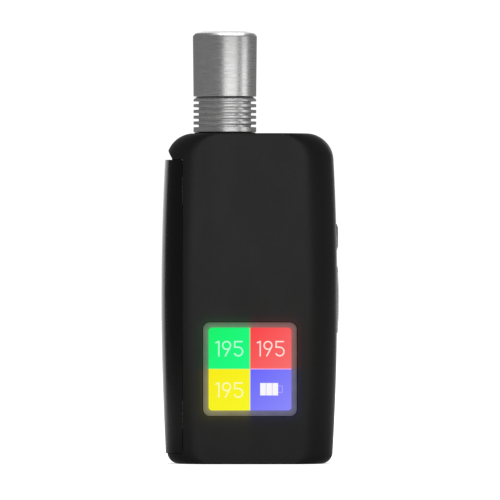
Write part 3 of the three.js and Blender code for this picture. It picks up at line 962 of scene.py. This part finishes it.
def make_rocker(metal):
    """A crowned bar with round ends, its face bowed lengthways, on a wider flange."""
    rings = []
    levels = [(0, 22.3), (0, 24.3), *quarter_round(0.32, ROCKER_FACE, -1, 5)[::-1]]
    for inset, depth in levels:
        outline = rounded_rectangle(
            ROCKER_WIDTH - 2 * inset, ROCKER_LENGTH - 2 * inset, ROCKER_END_RADIUS - inset, 14
        )
        ring = []
        for u, v in divided(outline, 0.75):
            dip = 0 if depth < 24 else v**2 / 300
            ring.append((depth - dip, u, ROCKER_Z + v))
        rings.append(ring)
    bm = loft(rings)
    bmesh.ops.triangulate(bm, faces=[face for face in bm.faces if len(face.verts) > 4])
    rocker = to_object("rocker_bar", bm)
    flange = slab(5.6, 20.6, 2.79, (22.1, 22.5), along_x, (0, ROCKER_Z), (0.1, 0.1))
    ridge = box((20.75, 22.3), (-2, 2), (ROCKER_Z - 0.4, ROCKER_Z + 0.4))
    carve(rocker, [cutter(flange), cutter(ridge)], "UNION")
    for side in (-1, 1):
        dimple = lathe(soften([(0, 24.62), (0.7, 24.62), (0.95, 25.3), (0, 25.3)], 0.1, 3), 48)
        carve(rocker, [cutter(turned_to_x(dimple, ROCKER_Z + side * 6.6))])
    return finish_piece(rocker, metal, "rocker_button", ["rocker_button"])


# ---- Inside ----


def make_cells(wrap, steel):
    """Two wrapped cells, each with a crimped shoulder, a bare rim and a raised contact."""
    low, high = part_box("battery_cell_outer")
    radius = (high.y - low.y) / 2 / MM
    profile = [
        (0, 4.3),
        (radius, 4.3),
        (radius, 66.0),
        (radius - 0.35, 66.5),
        (radius - 0.35, 67.1),
        (radius, 67.6),
        (radius, 69.0),
        (5.6, 69.0),
        (5.2, 68.85),
        (3.4, 68.85),
        (3.0, 69.0),
        (3.0, 69.7),
        (0, 69.7),
    ]
    for place in ("outer", "inner"):
        low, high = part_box(f"battery_cell_{place}")
        centre = ((low.x + high.x) / 2 / MM, (low.y + high.y) / 2 / MM)
        cell = to_object(f"cell_{place}", lathe(soften(profile, 0.3, 3), 96, centre))
        finish_piece(cell, wrap, "housing", [f"battery_cell_{place}"])
        cell.data.materials.append(steel)
        bare_radius = 7.6 * MM
        for face in cell.data.polygons:
            offset = face.center - Vector((centre[0] * MM, centre[1] * MM, 0))
            if offset.xy.length < bare_radius:
                face.material_index = 1


def make_heater(steel, insulation, ceramic, mesh):
    """The cup that the stem plugs into, its sleeve, the element under it and the stem's screen."""
    cup = [(0, 75.6), (8.3, 75.6), (8.3, 90.6), (7.45, 90.6), (7.45, 76.6), (0, 76.6)]
    sleeve = [(9, 72.9), (10.5, 72.9), (10.5, 90.9), (9, 90.9)]
    element = [(0, 73), (7.6, 73), (7.6, 75.4), (0, 75.4)]
    screen = [(0, 87.9), (4.8, 87.9), (4.8, 88.3), (0, 88.3)]
    parts = (
        ("cup", cup, steel, "heater_cup", "housing"),
        ("sleeve", sleeve, insulation, "heater_sleeve", "housing"),
        ("element", element, ceramic, "heating_element", "housing"),
        ("screen", screen, mesh, "stem_screen", "stem"),
    )
    for name, profile, material, node, body in parts:
        piece = to_object(f"heater_{name}", lathe(soften(profile, 0.2, 3), 72, (STEM_X, 0)))
        finish_piece(piece, material, body, [node])


def make_motor_and_screws(steel):
    """The coin motor, and two screws with crossed slots in their heads."""
    motor = lathe(soften([(0, 16.8), (4, 16.8), (4, 19.5), (0, 19.5)], 0.3, 4), 64)
    coin = to_object("coin_motor", turned_to_x(motor, 65))
    finish_piece(coin, steel, "housing", ["haptic_motor"])
    profile = [(0, 18.7), (1.5, 18.7), (1.5, 19.5), (0.7, 19.5), (0.7, 22.1), (0, 22.1)]
    for place, z in SCREW_HEIGHTS.items():
        screw = to_object(f"screw_{place}", turned_to_x(lathe(soften(profile, 0.18, 3), 48), z))
        slots = [
            box((18, 19.05), (-0.9, 0.9), (z - 0.17, z + 0.17)),
            box((18, 19.05), (-0.17, 0.17), (z - 0.9, z + 0.9)),
        ]
        carve(screw, [cutter(bm) for bm in slots])
        finish_piece(screw, steel, "housing", [f"board_screw_{place}"])


def dress(nodes, material, bevel=0.1):
    """Gives CAD nodes a finish and slightly eased edges."""
    for node in nodes:
        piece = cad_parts[node]
        for slot in piece.material_slots:
            slot.link = "OBJECT"
            slot.material = material
        add_bevel(piece, bevel)


def dress_inside(frame_plastic, insulation, nickel):
    """Finishes the CAD nodes that keep their own shape."""
    cloth = woven("ribbon_cloth", (0.3, 0.012, 0.014), 0.4, ("X", "Z")).material
    plated = satin_metal("magnet_plate", (0.55, 0.55, 0.56), 0.22)
    component = moulded_plastic("component_black", (0.01, 0.01, 0.01), 0.45, 0.15, 0.006)
    contacts = [f"contact_{kind}_outer" for kind in ("spring", "plate")]
    contacts += [f"contact_{kind}_inner" for kind in ("spring", "plate")]
    magnets = [f"{holder}_magnet_lower" for holder in ("cover", "frame")]
    magnets += [f"{holder}_magnet_upper" for holder in ("cover", "frame")]
    switches = ["power_switch", "rocker_switch_upper", "rocker_switch_lower"]
    dress(["battery_frame"], frame_plastic, 0.2)
    dress(["heat_shield"], insulation, 0.15)
    dress(["main_board"], circuit_board(), 0.06)
    dress(["pull_ribbon"], cloth, 0.04)
    dress([*contacts, "usb_port"], nickel, 0.05)
    dress(magnets, plated, 0.12)
    dress(["controller_chip", "power_inductor", *switches, "usb_tongue"], component, 0.08)


# ---- The stage ----

CAMERA_DISTANCE = 3.0
FRAME_WIDTH = 0.14066  # metres across the picture at the housing's front face
EYE_LEVEL = 0.0603  # metres, the camera's height
FIN_LEVEL = 0.1045  # metres, the height of the steel's brightest part


def make_camera():
    """A level camera far in front, framed by the width it sees at the front face."""
    data = bpy.data.cameras.new("camera")
    front = CAMERA_DISTANCE - BODY_HALF_DEPTH * MM
    data.sensor_width = 36
    data.lens = data.sensor_width * front / FRAME_WIDTH
    data.clip_end = 50
    camera = bpy.data.objects.new("camera", data)
    camera.location = (0, -CAMERA_DISTANCE, EYE_LEVEL)
    camera.rotation_euler = (math.pi / 2, 0, 0)
    bpy.context.scene.collection.objects.link(camera)
    bpy.context.scene.camera = camera


def area_light(
    name, azimuth, elevation, distance, size, radiance, pieces=(), glossy=True, level=EYE_LEVEL
):
    """A soft panel aimed at the object. Azimuth 0 is at the camera, and it grows towards +X.

    A panel that names pieces lights only those, as a flag would keep it off the others.
    """
    turn = math.radians(azimuth)
    rise = math.radians(elevation)
    data = bpy.data.lights.new(name, "AREA")
    data.shape = "RECTANGLE"
    data.size, data.size_y = size
    data.energy = radiance * math.pi * size[0] * size[1]
    light = bpy.data.objects.new(name, data)
    level_part = math.cos(rise)
    outward = Vector(
        (math.sin(turn) * level_part, -math.cos(turn) * level_part, math.sin(rise))
    )
    light.location = Vector((0, 0, level)) + outward * distance
    light.rotation_euler = outward.to_track_quat("Z", "Y").to_euler()
    light.visible_glossy = glossy
    light.visible_camera = False
    bpy.context.scene.collection.objects.link(light)
    if pieces:
        receivers = bpy.data.collections.new(f"{name}_receivers")
        for piece in pieces:
            receivers.objects.link(piece)
        light.light_linking.receiver_collection = receivers


def glowing_disc(name, radius, near, far, reach, hidden_from, colour=(0, 0, 0)):
    """A flat staged disc that glows from `near` at its centre to `far` at `reach` metres out."""
    bm = bmesh.new()
    bmesh.ops.create_circle(bm, cap_ends=True, segments=96, radius=radius)
    disc = to_object(name, bm)
    glow = Finish(name, colour, 1.0, specular=0.0)
    distance = glow.tree.nodes.new("ShaderNodeVectorMath")
    distance.operation = "LENGTH"
    glow.link(glow.place, distance.inputs[0])
    strength = glow.spread(distance.outputs["Value"], near, far, 0.03, reach)
    glow.link(strength, glow.shader.inputs["Emission Strength"])
    glow.shader.inputs["Emission Color"].default_value = (1, 1, 1, 1)
    disc.data.materials.append(glow.material)
    hide_from(disc, hidden_from)
    return disc


def hide_from(piece, rays):
    """Turns off a piece's visibility to the named kinds of ray."""
    for ray in rays:
        setattr(piece, f"visible_{ray}", False)


def make_stage():
    """A pale floor and its sheen, a white dome that only the camera sees, and a grey surround."""
    pale = (0.86, 0.86, 0.86)
    floor = glowing_disc("floor", 6, 0.66, 1.05, 0.9, ("diffuse", "glossy", "shadow"), pale)
    sheen_hidden = ("camera", "diffuse", "transmission", "volume_scatter", "shadow")
    sheen = glowing_disc("floor_sheen", 0.4, 0.22, 0.85, 0.22, sheen_hidden)
    sheen.location.z = -0.0004
    sphere = bmesh.new()
    bmesh.ops.create_uvsphere(sphere, u_segments=64, v_segments=32, radius=6)
    dome = to_object("dome", sphere)
    white = Finish("white_dome", (0, 0, 0), 1.0)
    white.shader.inputs["Emission Color"].default_value = (1, 1, 1, 1)
    white.shader.inputs["Emission Strength"].default_value = 1.05
    dome.data.materials.append(white.material)
    hide_from(dome, ("diffuse", "glossy", "transmission", "volume_scatter", "shadow"))
    world = bpy.data.worlds.new("surround")
    world.use_nodes = True
    background = world.node_tree.nodes["Background"]
    background.inputs["Color"].default_value = (1, 1, 1, 1)
    background.inputs["Strength"].default_value = 0.24
    bpy.context.scene.world = world


def make_lights(shell, cover, steel, buttons):
    """Soft panels in front, on the right, behind and overhead."""
    area_light("front_panel", 0, 0, 1.6, (1.25, 1.3), 1.1, [shell, cover])
    area_light("front_fill", 12, 15, 1.8, (0.9, 0.9), 5, glossy=False)
    area_light("steel_softbox", 19, 0, 0.15, (0.14, 0.032), 1.75, steel, level=FIN_LEVEL)
    area_light("steel_strip", 73, 0, 0.15, (0.062, 0.034), 1.8, steel, level=FIN_LEVEL)
    area_light("button_panel", 70, 0, 0.85, (0.6, 0.6), 1.5, buttons)
    area_light("cover_rim", -150, 0, 1.5, (1.4, 1.3), 1.6, [cover])
    area_light("shell_rim", 160, 0, 1.5, (0.8, 1.1), 0.85, [shell])
    area_light("steel_back", 180, 0, 1.5, (0.4, 1.1), 0.7, steel)
    area_light("steel_sky", 178, 34, 1.2, (0.8, 0.7), 0.8, steel)
    area_light("steel_top", 100, 80, 0.6, (0.5, 0.5), 3.0, steel)
    area_light("overhead", 0, 90, 1.6, (1.4, 1.4), 2.4, glossy=False)


# ---- Assembly ----


def main():
    """Builds every piece, then the stage round them."""
    bpy.context.scene.view_settings.view_transform = "Standard"
    steel = turned_steel()
    nickel = satin_metal("nickel_plate", (0.5, 0.47, 0.42), 0.32)
    satin = satin_metal("satin_metal", (0.5, 0.5, 0.49), 0.42)
    dark = moulded_plastic("button_black", (0.012, 0.012, 0.012), 0.34, 0.3, 0.004)
    black = moulded_plastic("frame_black", (0.015, 0.015, 0.015), 0.55)
    panel = moulded_plastic("panel_black", (0.01, 0.01, 0.012), 0.3, 0.3, 0.002)
    wrap = moulded_plastic("cell_wrap", (0.03, 0.16, 0.27), 0.32, 1.2, 0.01)
    rubber = silicone()
    insulation = fired_ceramic("insulation", (0.62, 0.57, 0.46), 0.8)
    ceramic = fired_ceramic("ceramic", (0.74, 0.71, 0.64), 0.4)
    cup_steel = turned_steel("cup_steel", 0.25, 0.4, 0.5)
    screen = woven("screen_mesh", (0.4, 0.4, 0.4), 0.35, ("X", "Y"))
    screen.shader.inputs["Metallic"].default_value = 1.0

    shell = make_housing(powder_coat())
    cover = make_cover(lacquer())
    stem = [make_mouthpiece(steel), make_cooling_stem(steel)]
    make_stem_seal(rubber)
    make_sealing_rings(rubber)
    make_display(clear_lens(), bezel_grey(), panel)
    buttons = [*make_power_button(satin, dark), make_rocker(satin)]
    make_cells(wrap, nickel)
    make_heater(cup_steel, insulation, ceramic, screen.material)
    make_motor_and_screws(nickel)
    dress_inside(black, insulation, nickel)

    make_camera()
    make_stage()
    make_lights(shell, cover, stem, buttons)


main()
